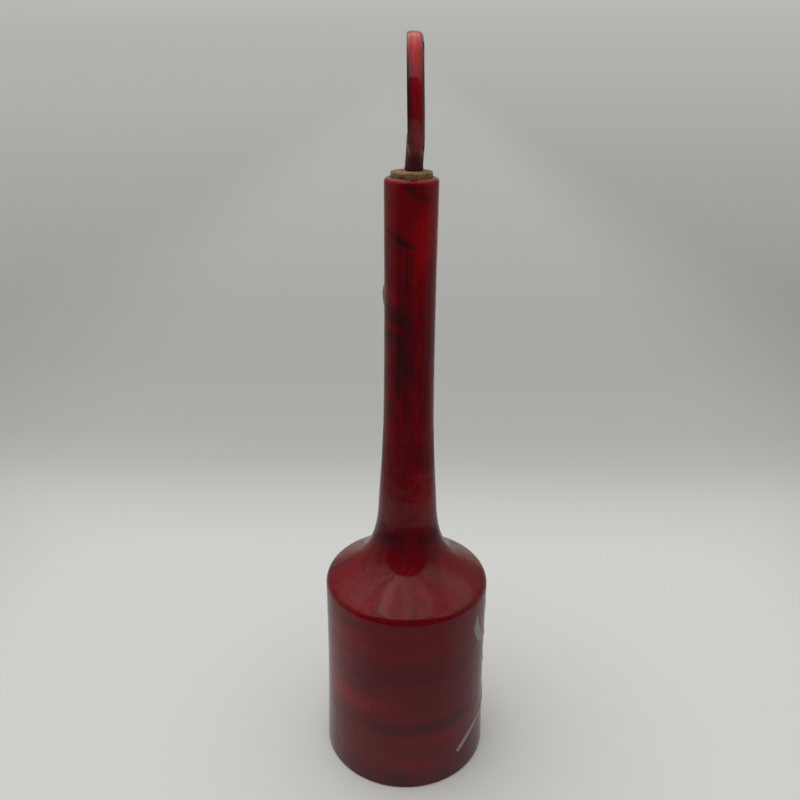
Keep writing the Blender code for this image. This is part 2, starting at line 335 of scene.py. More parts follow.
def makeMirroredFloor():
    material, tree, shader = newMaterial("mirroredFloor")
    place = addNode(tree, "ShaderNodeTexCoord").outputs["Object"]
    parts = addNode(tree, "ShaderNodeSeparateXYZ", {"Vector": place}).outputs
    away = vectorSums(tree, "LENGTH", place, (0.0, 0.0, 0.0))
    reach = tentMirror["floorRadius"]
    stops = [(distance / reach, (tone, tone, tone)) for distance, tone in tentMirror["floorTones"]]
    tones = ramp(tree, sums(tree, "DIVIDE", away, reach), stops)
    frontward = sums(tree, "DIVIDE", sums(tree, "MULTIPLY", parts["Y"], -1.0), away)
    rightward = sums(tree, "DIVIDE", parts["X"], away)
    inFront = sums(tree, "MULTIPLY", fade(tree, frontward, *tentMirror["floorFront"]),
                   fade(tree, away, *tentMirror["floorFrontFrom"]))
    leftInFront = sums(tree, "MULTIPLY_ADD", inFront, -tentMirror["floorFrontLess"], 1.0)
    leftAtRight = fade(tree, rightward, *tentMirror["floorRight"], 1.0, 1.0 - tentMirror["floorRightLess"])
    dimmer = sums(tree, "MULTIPLY", leftInFront, leftAtRight)
    tree.links.new(blendColours(tree, 1.0, tones, dimmer, "MULTIPLY"), shader.inputs["Base Color"])
    shader.inputs["Roughness"].default_value = 0.9

    bpy.ops.object.select_all(action="DESELECT")
    bpy.ops.mesh.primitive_circle_add(vertices=96, radius=tentMirror["floorRadius"], fill_type="NGON")
    piece = bpy.context.object
    piece.name = "mirroredFloor"
    piece.location.z = tentMirror["floorLift"]
    mirroredOnly(piece, material)


def makeMirroredFront():
    material, tree, shader = newMaterial("mirroredFront")
    shader.inputs["Base Color"].default_value = (*[tentMirror["frontTone"]] * 3, 1.0)
    shader.inputs["Roughness"].default_value = 0.9
    bpy.ops.object.select_all(action="DESELECT")
    bpy.ops.mesh.primitive_circle_add(vertices=96, radius=1.0, fill_type="NGON")
    piece = bpy.context.object
    piece.name = "mirroredFront"
    piece.scale = (tentMirror["frontHalfWidth"], tentMirror["frontHalfHeight"], 1.0)
    piece.rotation_euler.x = math.radians(90.0)
    piece.location.y = -tentMirror["frontAway"]
    mirroredOnly(piece, material)


def lightOfTent(tree, parts, up):
    around = sums(tree, "ARCTAN2", parts["X"], sums(tree, "MULTIPLY", parts["Y"], -1.0))
    around = sums(tree, "ABSOLUTE", sums(tree, "DEGREES", around))
    tent = tentLight
    skyMask = fade(tree, up, tent["skyFrom"] - tent["skySoft"], tent["skyFrom"] + tent["skySoft"])
    middle = (tent["skyFrom"] + tent["frontLow"]) / 2.0
    half = (tent["skyFrom"] - tent["frontLow"]) / 2.0
    above = sums(tree, "MAXIMUM", sums(tree, "SUBTRACT", up, middle), 0.0)
    tall = sums(tree, "POWER", sums(tree, "DIVIDE", above, half), 2.0)
    wide = sums(tree, "POWER", sums(tree, "DIVIDE", around, tent["frontHalfAngle"]), 2.0)
    oval = sums(tree, "ADD", tall, wide)
    frontMask = fade(tree, oval, 1.0 - tent["frontSoft"], 1.0 + tent["frontSoft"], 1.0, 0.0)
    leftward = sums(tree, "MULTIPLY_ADD", parts["X"], -tent["skyLeftward"], 1.0)
    sky = blendColours(tree, 1.0, (*tent["skyTone"], 1.0), leftward, "MULTIPLY")
    room = blendColours(tree, skyMask, (*tent["wallTone"], 1.0), sky)
    return blendColours(tree, frontMask, room, (*tent["frontTone"], 1.0)), around


def mirrorOfTent(tree, parts, up, around):
    tent = tentMirror
    upShare = sums(tree, "DIVIDE", sums(tree, "ADD", up, 90.0), 180.0)
    sides = [
        ramp(tree, upShare, [((degrees + 90.0) / 180.0, (tone, tone, tone)) for degrees, tone in tent[name]])
        for name in ("beside", "behind", "straightBack")
    ]
    start, end, left = tent["frontward"]
    dimmer = sums(tree, "MAXIMUM", fade(tree, around, start, end, left, 1.0),
                  fade(tree, up, *tent["frontwardUntil"]))
    beside = blendColours(tree, 1.0, sides[0], dimmer, "MULTIPLY")
    side = blendColours(tree, fade(tree, around, *tent["besideUntil"]), beside, sides[1])
    side = blendColours(tree, fade(tree, around, *tent["behindUntil"]), side, sides[2])
    reach, brightest = tent["foldsReach"], tent["foldsBrightest"]
    sideways = sums(tree, "DIVIDE", parts["X"], sums(tree, "MAXIMUM", parts["Z"], tent["foldsLowest"]))
    share = sums(tree, "DIVIDE", sums(tree, "ADD", sideways, reach), 2.0 * reach)
    stops = [((place + reach) / 2.0 / reach, (*[tone / brightest] * 3,)) for place, tone in tent["folds"]]
    folds = ramp(tree, share, stops, "EASE")
    backward = sums(tree, "MULTIPLY_ADD", sums(tree, "MAXIMUM", parts["Y"], 0.0),
                    tent["backBrighter"] * brightest, brightest)
    top = blendColours(tree, 1.0, folds, backward, "MULTIPLY")
    room = blendColours(tree, fade(tree, up, tent["topFrom"], tent["topFull"]), side, top)
    return blendColours(tree, 1.0, room, tent["warmth"], "MULTIPLY")


def makeWorld():
    world = bpy.data.worlds.new("softStudio")
    bpy.context.scene.world = world
    world.use_nodes = True
    tree = world.node_tree
    tree.nodes.clear()
    way = addNode(tree, "ShaderNodeTexCoord").outputs["Generated"]
    parts = addNode(tree, "ShaderNodeSeparateXYZ", {"Vector": way}).outputs
    up = sums(tree, "DEGREES", sums(tree, "ARCSINE", parts["Z"]))
    light, around = lightOfTent(tree, parts, up)
    mirror = mirrorOfTent(tree, parts, up, around)
    rays = addNode(tree, "ShaderNodeLightPath").outputs
    tone = blendColours(tree, rays["Is Glossy Ray"], light, mirror)
    rise = fade(tree, up, 0.0, studio["backdropRise"])
    backdrop = blendColours(tree, rise, (*studio["backdropLow"], 1.0), (*studio["backdropHigh"], 1.0))
    tone = blendColours(tree, rays["Is Camera Ray"], tone, backdrop)
    glow = addNode(tree, "ShaderNodeBackground", {"Color": tone, "Strength": 1.0})
    out = addNode(tree, "ShaderNodeOutputWorld")
    tree.links.new(glow.outputs[0], out.inputs["Surface"])


def makeStudio():
    makeFloor()
    makeMirroredFloor()
    makeMirroredFront()
    makeWorld()
    bpy.context.scene.view_settings.view_transform = "Standard"
    print("studio ready")


# Shared shader groups: places round the bottle, brush hairs, single dabs, glaze tones

def makeRoundGroup():
    # angle round from the front, height, and a direction that runs round without a seam
    tree, given, result = newGroup(
        "roundTheBottle",
        [("Position", "NodeSocketVector", None)],
        [("Angle", "NodeSocketFloat"), ("Height", "NodeSocketFloat"), ("Direction", "NodeSocketVector")],
    )
    parts = addNode(tree, "ShaderNodeSeparateXYZ", {"Vector": given["Position"]}).outputs
    angle = sums(tree, "ARCTAN2", parts["X"], sums(tree, "MULTIPLY", parts["Y"], -1.0))
    flat = vectorSums(tree, "MULTIPLY", given["Position"], (1.0, 1.0, 0.0))
    outward = vectorSums(tree, "NORMALIZE", flat, (0.0, 0.0, 0.0))
    tree.links.new(sums(tree, "DEGREES", angle), result["Angle"])
    tree.links.new(parts["Z"], result["Height"])
    tree.links.new(outward, result["Direction"])
    return tree


def makeHairGroup():
    # long thin brush hairs: noise stretched by the vector it is given
    tree, given, result = newGroup(
        "brushHairs",
        [("Vector", "NodeSocketVector", None), ("Scale", "NodeSocketFloat", 1.0),
         ("Ragged", "NodeSocketFloat", 0.5)],
        [("Mask", "NodeSocketFloat")],
    )
    coarse = noise(tree, given["Vector"], given["Scale"], 2.0)
    fineScale = sums(tree, "MULTIPLY", given["Scale"], 3.7)
    fine = noise(tree, given["Vector"], fineScale, 3.0, 0.6)
    mixed = addNode(tree, "ShaderNodeMix", {0: given["Ragged"], 2: coarse, 3: fine}).outputs[0]
    tree.links.new(mixed, result["Mask"])
    return tree


def makeDabGroup():
    # one stroke of the brush, ragged at its ends, by its middle, half sizes and slant
    tree, given, result = newGroup(
        "brushDab",
        [("Angle", "NodeSocketFloat", 0.0), ("Height", "NodeSocketFloat", 0.0),
         ("Middle Angle", "NodeSocketFloat", 0.0), ("Middle Height", "NodeSocketFloat", 0.0),
         ("Half Angle", "NodeSocketFloat", 20.0), ("Half Height", "NodeSocketFloat", 0.003),
         ("Slant", "NodeSocketFloat", 0.0), ("Ragged", "NodeSocketFloat", 0.5),
         ("Softness", "NodeSocketFloat", 0.4)],
        [("Mask", "NodeSocketFloat")],
    )
    across = sums(tree, "SUBTRACT", given["Angle"], given["Middle Angle"])
    share = sums(tree, "DIVIDE", across, given["Half Angle"])
    rise = sums(tree, "MULTIPLY", share, given["Slant"])
    up = sums(tree, "SUBTRACT", sums(tree, "SUBTRACT", given["Height"], given["Middle Height"]), rise)
    tall = sums(tree, "DIVIDE", up, given["Half Height"])
    distance = sums(tree, "SQRT", sums(tree, "ADD", sums(tree, "POWER", sums(tree, "ABSOLUTE", share), 2.6),
                                       sums(tree, "POWER", sums(tree, "ABSOLUTE", tall), 2.0)))
    frayed = sums(tree, "ADD", distance, given["Ragged"])
    near = sums(tree, "SUBTRACT", 1.0, given["Softness"])
    far = sums(tree, "ADD", 1.0, given["Softness"])
    tree.links.new(fade(tree, frayed, near, far, 1.0, 0.0), result["Mask"])
    return tree


def makeToneGroup():
    # shade 0 is the dark underbrush, 0.4 the deep red, 1 the clear bright red over thin edges
    tree, given, result = newGroup(
        "glazeTones", [("Shade", "NodeSocketFloat", 0.5)], [("Color", "NodeSocketColor")]
    )
    tones = ramp(
        tree,
        given["Shade"],
        [(0.0, (0.030, 0.0095, 0.0085)), (0.2, (0.085, 0.0055, 0.0095)), (0.4, (0.175, 0.0034, 0.0070)),
         (0.6, (0.270, 0.0032, 0.0060)), (0.8, (0.400, 0.0040, 0.0060)), (1.0, (0.600, 0.0080, 0.0090))],
    )
    tree.links.new(tones, result["Color"])
    return tree


groups = {
    "round": makeRoundGroup(),
    "hairs": makeHairGroup(),
    "dab": makeDabGroup(),
    "tones": makeToneGroup(),
}


# The bottle

bottle = {
    "baseRadius": 55.4, "baseRound": 1.2,
    "sideRadius": 53.6, "bodyTopRadius": 53.8,
    "edgeRound": 8.0, "edgeHeight": 129.3, "edgeSlope": 50.4,
    "rootRadius": 32.3, "rootHeight": 148.0, "rootSlope": 47.6,
    "flareRadius": 18.8, "flareHeight": 185.7, "flareSlope": 2.9,
    "waistRadius": 15.2, "waistHeight": 334.5,
    "rimRadius": 15.5, "rimHeight": 393.2, "lipOuterRound": 2.5, "lipInnerRound": 0.9,
    "waistPull": 119.0, "flarePullUp": 46.8, "flarePullDown": 22.8,
    "rootPullUp": 7.1, "rootPullDown": 5.5, "edgePull": 2.8,
    "mouthRadius": 12.05, "wellRadius": 11.5, "wellBottom": 365.9,
    # steps round the bottle, and along each stretch of its outline
    "steps": 224, "innerLipSteps": 5, "outerLipSteps": 8, "neckSteps": 12, "flareSteps": 34, "rootSteps": 26,
    "shoulderSteps": 8, "edgeSteps": 16, "sideSteps": 22, "baseSteps": 6,
}


def bottleOutline():
    size = {key: value * mm for key, value in bottle.items()}
    waist = Vector((size["waistRadius"], size["waistHeight"]))
    flare = Vector((size["flareRadius"], size["flareHeight"]))
    root = Vector((size["rootRadius"], size["rootHeight"]))
    flareWay = heading(bottle["flareSlope"])
    rootWay = heading(bottle["rootSlope"])
    edgeWay = heading(bottle["edgeSlope"])
    edge = roundCorner((size["bodyTopRadius"] - size["edgeRound"], size["edgeHeight"]), size["edgeRound"],
                       bottle["edgeSlope"], 0.0, bottle["edgeSteps"])
    base = roundCorner((size["baseRadius"] - size["baseRound"], size["baseRound"]), size["baseRound"],
                       0.0, -90.0, bottle["baseSteps"])
    inner = size["lipInnerRound"]
    innerLip = roundCorner((size["mouthRadius"] + inner, size["rimHeight"] - inner), inner,
                           180.0, 90.0, bottle["innerLipSteps"])
    outer = size["lipOuterRound"]
    outerLip = roundCorner((size["rimRadius"] - outer, size["rimHeight"] - outer), outer,
                           90.0, 0.0, bottle["outerLipSteps"])
    points = [Vector((0.0, size["wellBottom"])), Vector((size["wellRadius"], size["wellBottom"]))]
    points += innerLip + outerLip
    neckSteps = bottle["neckSteps"]
    points += [outerLip[-1].lerp(waist, step / neckSteps) for step in range(1, neckSteps + 1)]
    points += sweep(waist, waist + size["waistPull"] * heading(0.0),
                    flare - size["flarePullUp"] * flareWay, flare, bottle["flareSteps"])
    points += sweep(flare, flare + size["flarePullDown"] * flareWay,
                    root - size["rootPullUp"] * rootWay, root, bottle["rootSteps"])
    points += sweep(root, root + size["rootPullDown"] * rootWay,
                    edge[0] - size["edgePull"] * edgeWay, edge[0], bottle["shoulderSteps"])
    points += edge[1:]
    middle = Vector((size["sideRadius"], size["edgeHeight"] / 2.0))
    points += sweep(edge[-1], middle, middle, base[0], bottle["sideSteps"])
    points += base[1:]
    points.append(Vector((0.0, 0.0)))
    return points


# How thick the glaze lies by height, as a shade of its tones
glazeLevels = [
    (0.0, 0.16), (4.0, 0.20), (12.0, 0.26), (22.0, 0.28), (40.0, 0.28), (50.0, 0.26), (62.0, 0.31),
    (75.0, 0.29), (92.0, 0.28), (104.0, 0.32), (118.0, 0.33), (128.0, 0.28), (135.0, 0.37), (150.0, 0.40),
    (162.0, 0.30), (172.0, 0.22), (184.0, 0.32), (200.0, 0.37), (214.0, 0.35), (226.0, 0.30), (250.0, 0.31),
    (266.0, 0.30), (285.0, 0.25), (305.0, 0.25), (325.0, 0.30), (342.0, 0.34), (356.0, 0.39), (372.0, 0.44),
    (382.0, 0.38), (389.6, 0.42), (391.6, 0.62), (393.2, 0.80),
]

# Brush dabs: middle angle, middle height, half angle, half height, slant, softness, strength
dabs = [
    # the neck, from the rim down
    (-2.0, 390.0, 24.0, 2.6, -1.0, 0.5, -0.17),
    (8.0, 386.2, 24.0, 1.6, -3.5, 0.5, -0.20),
    (54.0, 366.0, 34.0, 9.0, 0.0, 0.9, 0.15),
    (-31.0, 361.5, 36.0, 2.1, -4.4, 0.5, -0.26),
    (-14.0, 356.0, 24.0, 6.0, -1.0, 0.9, -0.13),
    (24.0, 351.0, 22.0, 19.0, 0.0, 0.9, 0.17),
    (-48.0, 339.0, 40.0, 4.6, -1.0, 0.7, -0.08),
    (-8.0, 334.0, 17.0, 16.0, 0.0, 0.9, -0.13),
    (-48.0, 327.0, 32.0, 4.0, 0.0, 0.8, 0.08),
    (20.0, 318.0, 18.0, 26.0, 0.0, 0.9, 0.08),
    (-36.0, 316.5, 48.0, 4.2, -2.0, 0.6, -0.11),
    (-6.0, 312.0, 16.0, 9.0, 0.0, 0.8, -0.10),
    (-42.0, 309.4, 20.0, 1.8, -1.6, 0.6, 0.15),
    (-62.0, 303.0, 30.0, 5.0, 0.0, 0.9, -0.08),
    (-18.0, 284.0, 20.0, 19.0, 0.0, 0.9, -0.12),
    (-20.0, 275.0, 9.0, 8.0, 0.0, 0.7, -0.07),
    (40.0, 223.5, 13.0, 4.2, 0.0, 0.7, -0.13),
    (28.0, 203.0, 27.0, 13.0, 0.0, 0.9, 0.10),
    (-22.0, 199.0, 46.0, 15.0, 0.0, 0.9, -0.06),
    # fine runs down the neck
    (13.0, 300.0, 1.8, 52.0, 0.0, 0.8, 0.10),
    (17.5, 262.0, 1.6, 40.0, 0.0, 0.8, 0.09),
    (9.5, 240.0, 1.5, 30.0, 0.0, 0.8, 0.07),
    (-17.0, 338.0, 1.7, 15.0, 0.0, 0.8, 0.12),
    (-6.0, 262.0, 1.5, 26.0, 0.0, 0.8, -0.06),
    (-27.0, 230.0, 1.8, 22.0, 0.0, 0.8, -0.07),
    (24.0, 222.0, 1.5, 16.0, 0.0, 0.8, -0.07),
    # the root of the neck
    (-46.0, 169.5, 30.0, 3.2, 3.0, 0.7, -0.12),
    (44.0, 170.0, 24.0, 3.0, -3.0, 0.7, -0.13),
    # the body, from the edge down
    (-52.0, 137.0, 26.0, 7.0, 0.0, 0.9, 0.10),
    (-50.0, 112.0, 26.0, 6.0, 0.0, 0.9, 0.09),
    (-12.0, 114.5, 18.0, 3.0, 0.0, 0.8, -0.06),
    (-62.0, 83.0, 18.0, 18.0, 0.0, 0.9, 0.09),
    (2.0, 89.0, 48.0, 9.0, 0.0, 0.9, -0.05),
    (-32.0, 79.0, 13.0, 5.5, 0.0, 0.9, -0.05),
    (-46.0, 63.0, 34.0, 6.0, 2.0, 0.8, 0.12),
    (32.0, 66.0, 46.0, 8.0, 0.0, 0.9, -0.06),
    (12.0, 48.5, 42.0, 5.0, 1.0, 0.8, -0.09),
    (36.0, 37.5, 26.0, 4.0, 0.0, 0.9, 0.05),
    (8.0, 18.0, 19.0, 4.0, 0.0, 0.6, 0.09),
    (-4.0, 9.5, 8.0, 5.0, 0.0, 0.8, -0.11),
    (-78.0, 20.0, 18.0, 18.0, 0.0, 0.9, -0.08),
]

glaze = {
    # hairs run down the neck and shoulder: how often round, how often in each metre up, and how strong
    "hairTurns": 13.0, "hairRise": 14.0, "hairStrength": 0.075, "hairRagged": 0.45,
    "streakTurns": 38.0, "streakRise": 26.0, "streakAmount": 0.38, "streakTone": (0.20, 0.052, 0.050, 1.0),
    "streaksFrom": (0.165, 0.230), "streaksOver": (0.58, 0.80),
    "mottleScale": 170.0, "mottleStrength": 0.060,
    # bands run round the body, which ends at this height in metres
    "bodyUntil": (0.126, 0.134),
    "bandTurns": 1.0, "bandRise": 95.0, "bandScale": 0.9, "bandStrength": 0.045, "bandRagged": 0.3,
    "cloudTurns": 1.6, "cloudRise": 40.0, "cloudStrength": 0.05,
    # how far the ends of the dabs are broken up
    "frayScale": 1.9, "frayRagged": 0.6, "brushScale": 420.0, "frayedOver": (0.34, 0.66), "frayed": 0.60,
    "grooveShare": 0.7, "swellScale": 110.0, "swellShare": 2.2,
    "bumpStrength": 0.12, "bumpDepth": 0.001,
    "roughOver": (0.35, 0.75), "smoothest": 0.07, "roughest": 0.14,
}


def stretched(tree, skin, turns, rise):
    return vectorSums(tree, "MULTIPLY", skin, (turns, turns, rise))


def swing(tree, mask, edge, strength):
    # a noise as a shade from less than nothing to more
    return fade(tree, mask, edge, 1.0 - edge, -strength, strength)


def makeGlaze():
    material, tree, shader = newMaterial("brushedRedGlaze")
    position = addNode(tree, "ShaderNodeTexCoord").outputs["Object"]
    spot = placeGroup(tree, groups["round"], {"Position": position})
    heightPart = addNode(tree, "ShaderNodeCombineXYZ", {"Z": spot["Height"]}).outputs[0]
    skin = vectorSums(tree, "ADD", spot["Direction"], heightPart)  # unit circle round, metres up

    # the body has bands round it; the neck and shoulder have hairs down them
    onBody = fade(tree, spot["Height"], *glaze["bodyUntil"], 1.0, 0.0)
    bandWay = stretched(tree, skin, glaze["bandTurns"], glaze["bandRise"])
    bands = placeGroup(tree, groups["hairs"], {"Vector": bandWay, "Scale": glaze["bandScale"],
                                               "Ragged": glaze["bandRagged"]})["Mask"]
    hairWay = stretched(tree, skin, glaze["hairTurns"], glaze["hairRise"])
    hairs = placeGroup(tree, groups["hairs"], {"Vector": hairWay, "Ragged": glaze["hairRagged"]})["Mask"]
    fray = placeGroup(tree, groups["hairs"], {"Vector": hairWay, "Scale": glaze["frayScale"],
                                              "Ragged": glaze["frayRagged"]})["Mask"]
    clouds = noise(tree, stretched(tree, skin, glaze["cloudTurns"], glaze["cloudRise"]), 1.0, 3.0, 0.6)
    mottle = noise(tree, position, glaze["mottleScale"], 3.0, 0.6)
    hairShade = sums(tree, "ADD", swing(tree, hairs, 0.30, glaze["hairStrength"]),
                     swing(tree, clouds, 0.32, glaze["cloudStrength"]))
    hairShade = sums(tree, "ADD", hairShade, swing(tree, mottle, 0.32, glaze["mottleStrength"]))
    bandShade = swing(tree, bands, 0.30, glaze["bandStrength"])
    shade = addNode(tree, "ShaderNodeMix", {0: onBody, 2: hairShade, 3: bandShade}).outputs[0]

    # how thick it lies by height, and the single dabs
    top = bottle["rimHeight"]
    levels = ramp(tree, sums(tree, "DIVIDE", spot["Height"], top * mm),
                  [(height / top, (level, level, level)) for height, level in glazeLevels])
    shade = sums(tree, "ADD", shade, levels)
    brush = noise(tree, position, glaze["brushScale"], 3.0, 0.6)
    broken = sums(tree, "MULTIPLY_ADD", brush, 0.5, sums(tree, "MULTIPLY", fray, 0.5))
    ragged = fade(tree, broken, *glaze["frayedOver"], -glaze["frayed"], glaze["frayed"])
    for angle, height, halfAngle, halfHeight, slant, softness, strength in dabs:
        dab = placeGroup(tree, groups["dab"], {
            "Angle": spot["Angle"], "Height": spot["Height"], "Middle Angle": angle,
            "Middle Height": height * mm, "Half Angle": halfAngle, "Half Height": halfHeight * mm,
            "Slant": slant * mm, "Ragged": ragged, "Softness": softness,
        })["Mask"]
        shade = sums(tree, "MULTIPLY_ADD", dab, strength, shade)
    tones = placeGroup(tree, groups["tones"], {"Shade": shade})["Color"]

    # milky runs down the neck
    streaks = noise(tree, stretched(tree, skin, glaze["streakTurns"], glaze["streakRise"]), 1.0, 1.0)
    streaks = sums(tree, "MULTIPLY", fade(tree, streaks, *glaze["streaksOver"], 0.0, glaze["streakAmount"]),
                   fade(tree, spot["Height"], *glaze["streaksFrom"]))
    tree.links.new(blendColours(tree, streaks, tones, glaze["streakTone"]), shader.inputs["Base Color"])

    # brush grooves and slow swells in the surface
    groove = glaze["grooveShare"]
    relief = addNode(tree, "ShaderNodeMix", {0: onBody, 2: hairs, 3: bands}).outputs[0]
    relief = sums(tree, "MULTIPLY_ADD", fray, 1.0 - groove, sums(tree, "MULTIPLY", relief, groove))
    swell = noise(tree, position, glaze["swellScale"], 1.0)
    relief = sums(tree, "MULTIPLY_ADD", swell, glaze["swellShare"], relief)
    addBump(tree, shader, glaze["bumpStrength"], glaze["bumpDepth"], relief)
    rough = fade(tree, fray, *glaze["roughOver"], glaze["smoothest"], glaze["roughest"])
    tree.links.new(rough, shader.inputs["Roughness"])
    shader.inputs["IOR"].default_value = 1.5
    shader.inputs["Specular IOR Level"].default_value = 0.4
    return material


def makeBottle(material):
    piece = turnOutline("glazedBottle", bottleOutline(), bottle["steps"])
    piece.data.materials.append(material)
    smoothShade(piece, 40.0)
    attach(piece, "root")
    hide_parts("bottle")
    print("bottle turned:", len(piece.data.polygons), "faces")
    return piece


# The stopper: a disc with a slightly domed right face, grown together with its short leaning peg

stopper = {
    "centre": (1.8, 3.5, 435.4), "lean": -1.3,
    "radius": 32.0, "thickness": 9.4, "roundRight": 3.8, "roundLeft": 1.1, "dome": 0.45, "crown": 10.0,
    "pegRadius": 5.4, "pegTopRadius": 5.0, "pegTopSpread": 2.2,
    "pegFootX": 1.15, "pegFoot": 396.5, "pegLean": 2.9, "pegBuried": 13.0,
    "steps": 160, "pegSteps": 64,
    "voxel": 0.42, "jointHeight": 404.5, "jointReach": 7.0, "jointSmoothing": 110, "skinSmoothing": 3,
}

# colour of its glaze by height, from the peg to the top of the disc
stopperTones = [
    (396.0, (0.075, 0.012, 0.013)), (402.0, (0.10, 0.010, 0.012)), (406.0, (0.17, 0.010, 0.013)),
    (413.0, (0.23, 0.008, 0.012)), (425.0, (0.27, 0.007, 0.012)), (437.0, (0.28, 0.007, 0.013)),
    (442.0, (0.30, 0.008, 0.013)), (448.0, (0.40, 0.010, 0.014)), (456.0, (0.54, 0.013, 0.016)),
    (461.0, (0.62, 0.018, 0.020)), (467.5, (0.70, 0.024, 0.025)),
]

stopperGlaze = {
    # painted shade and grey reflection on the rim's two edges: where across the disc in mm, their tones, and
    # the left one fading higher up
    "leftEdge": (-4.0, -0.8), "leftTone": (0.050, 0.011, 0.012, 1.0), "leftLess": (0.450, 0.464, 0.30),
    "rightEdge": (1.6, 3.6), "rightTone": (0.10, 0.034, 0.030, 1.0), "edgeShare": 0.85,
    "streakScale": (700.0, 300.0, 60.0), "streakOver": (0.28, 0.72), "streakDark": 0.72, "streakLight": 1.25,
    "bumpStrength": 0.10, "bumpDepth": 0.0006,
    "smoothest": 0.07, "roughest": 0.50, "roughUntil": (0.408, 0.428), "rimFrom": (0.404, 0.410),
    "rimRadii": (26.0, 30.0),
}


def stopperFrame():
    lean = Matrix.Rotation(math.radians(stopper["lean"]), 4, "Y")
    return Matrix.Translation(Vector(stopper["centre"]) * mm) @ lean


def stopperOutline():
    half = stopper["thickness"] * mm / 2.0
    right = stopper["roundRight"] * mm
    left = stopper["roundLeft"] * mm
    crown = stopper["crown"]
    rise = math.sin(math.radians(crown))
    topEnd = half - right + right * rise
    lowEnd = left - half - left * rise
    middle = (topEnd + lowEnd) / 2.0
    reach = (topEnd - lowEnd) / 2.0
    sag = reach * math.tan(math.radians(crown)) / 2.0
    radius = stopper["radius"] * mm
    flank = radius - sag  # where the crowned rim meets its two rounds
    cosine = math.cos(math.radians(crown))
    roundStart = flank - right * cosine
    outline = []
    for share in (0.0, 0.2, 0.4, 0.6, 0.8, 0.95):
        away = roundStart * share
        outline.append(Vector((away, half - stopper["dome"] * mm * (away / radius) ** 2)))
    drop = stopper["dome"] * mm * (roundStart / radius) ** 2
    rightRound = roundCorner((roundStart, half - right), right, 90.0, crown, 10)
    outline += [point - Vector((0.0, drop * (90.0 - 8.0 * index) / 90.0))
                for index, point in enumerate(rightRound)]
    for step in range(1, 8):
        place = topEnd + (lowEnd - topEnd) * step / 8.0
        outline.append(Vector((radius - sag * ((place - middle) / reach) ** 2, place)))
    outline += roundCorner((flank - left * cosine, left - half), left, -crown, -90.0, 6)
    outline += [Vector((radius * share, -half)) for share in (0.85, 0.6, 0.3, 0.0)]
    return outline


def makePeg():
    foot = stopper["pegFoot"] * mm
    height = (stopper["centre"][2] - stopper["radius"] + stopper["pegBuried"]) * mm - foot
    bpy.ops.object.select_all(action="DESELECT")
    bpy.ops.mesh.primitive_cone_add(
        vertices=stopper["pegSteps"], radius1=stopper["pegRadius"] * mm,
        radius2=stopper["pegTopRadius"] * mm, depth=height,
        location=(stopper["pegFootX"] * mm, stopper["centre"][1] * mm, foot + height / 2.0),
    )
    peg = bpy.context.object
    bpy.ops.object.transform_apply(location=True, rotation=False, scale=False)
    bpy.ops.object.mode_set(mode="EDIT")
    bpy.ops.mesh.select_all(action="DESELECT")
    bpy.ops.object.mode_set(mode="OBJECT")
    for face in peg.data.polygons:
        face.select = face.normal.z > 0.9
    bpy.ops.object.mode_set(mode="EDIT")
    bpy.ops.transform.resize(value=(1.0, stopper["pegTopSpread"], 1.0),
                             center_override=(0.0, stopper["centre"][1] * mm, 0.0))
    aside = height * math.tan(math.radians(stopper["pegLean"]))
    bpy.ops.transform.translate(value=(aside, 0.0, 0.0))
    bpy.ops.object.mode_set(mode="OBJECT")
    return peg


def smoothWhere(piece, wanted, times):
    # relax only the points that the test picks
    onlyThis(piece)
    bpy.ops.object.mode_set(mode="EDIT")
    bpy.ops.mesh.select_mode(type="VERT")
    bpy.ops.mesh.select_all(action="DESELECT")
    bpy.ops.object.mode_set(mode="OBJECT")
    for point in piece.data.vertices:
        point.select = wanted(point.co)
    bpy.ops.object.mode_set(mode="EDIT")
    bpy.ops.mesh.vertices_smooth(factor=0.5, repeat=times)
    bpy.ops.object.mode_set(mode="OBJECT")


def makeStopper(material):
    disc = turnOutline("glazedStopper", stopperOutline(), stopper["steps"])
    disc.matrix_world = stopperFrame() @ Matrix.Rotation(math.radians(90.0), 4, "Y")
    onlyThis(disc)
    bpy.ops.object.transform_apply(location=True, rotation=True, scale=True)
    peg = makePeg()
    union = disc.modifiers.new("pegUnion", "BOOLEAN")
    union.operation = "UNION"
    union.solver = "EXACT"
    union.object = peg
    applyModifiers(disc)
    bpy.data.objects.remove(peg)

    # one skin over both, relaxed where the peg runs into the disc
    skin = disc.modifiers.new("oneSkin", "REMESH")
    skin.mode = "VOXEL"
    skin.voxel_size = stopper["voxel"] * mm
    applyModifiers(disc)
    joint = stopper["jointHeight"] * mm
    reach = stopper["jointReach"] * mm
    smoothWhere(disc, lambda place: abs(place.z - joint) < reach, stopper["jointSmoothing"])
    smoothWhere(disc, lambda place: place.z > stopper["pegFoot"] * mm + 0.001, stopper["skinSmoothing"])
    disc.data.materials.append(material)
    smoothShade(disc, 50.0)
    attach(disc, "root")
    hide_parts("stopper")
    print("stopper joined:", len(disc.data.polygons), "faces")
    return disc


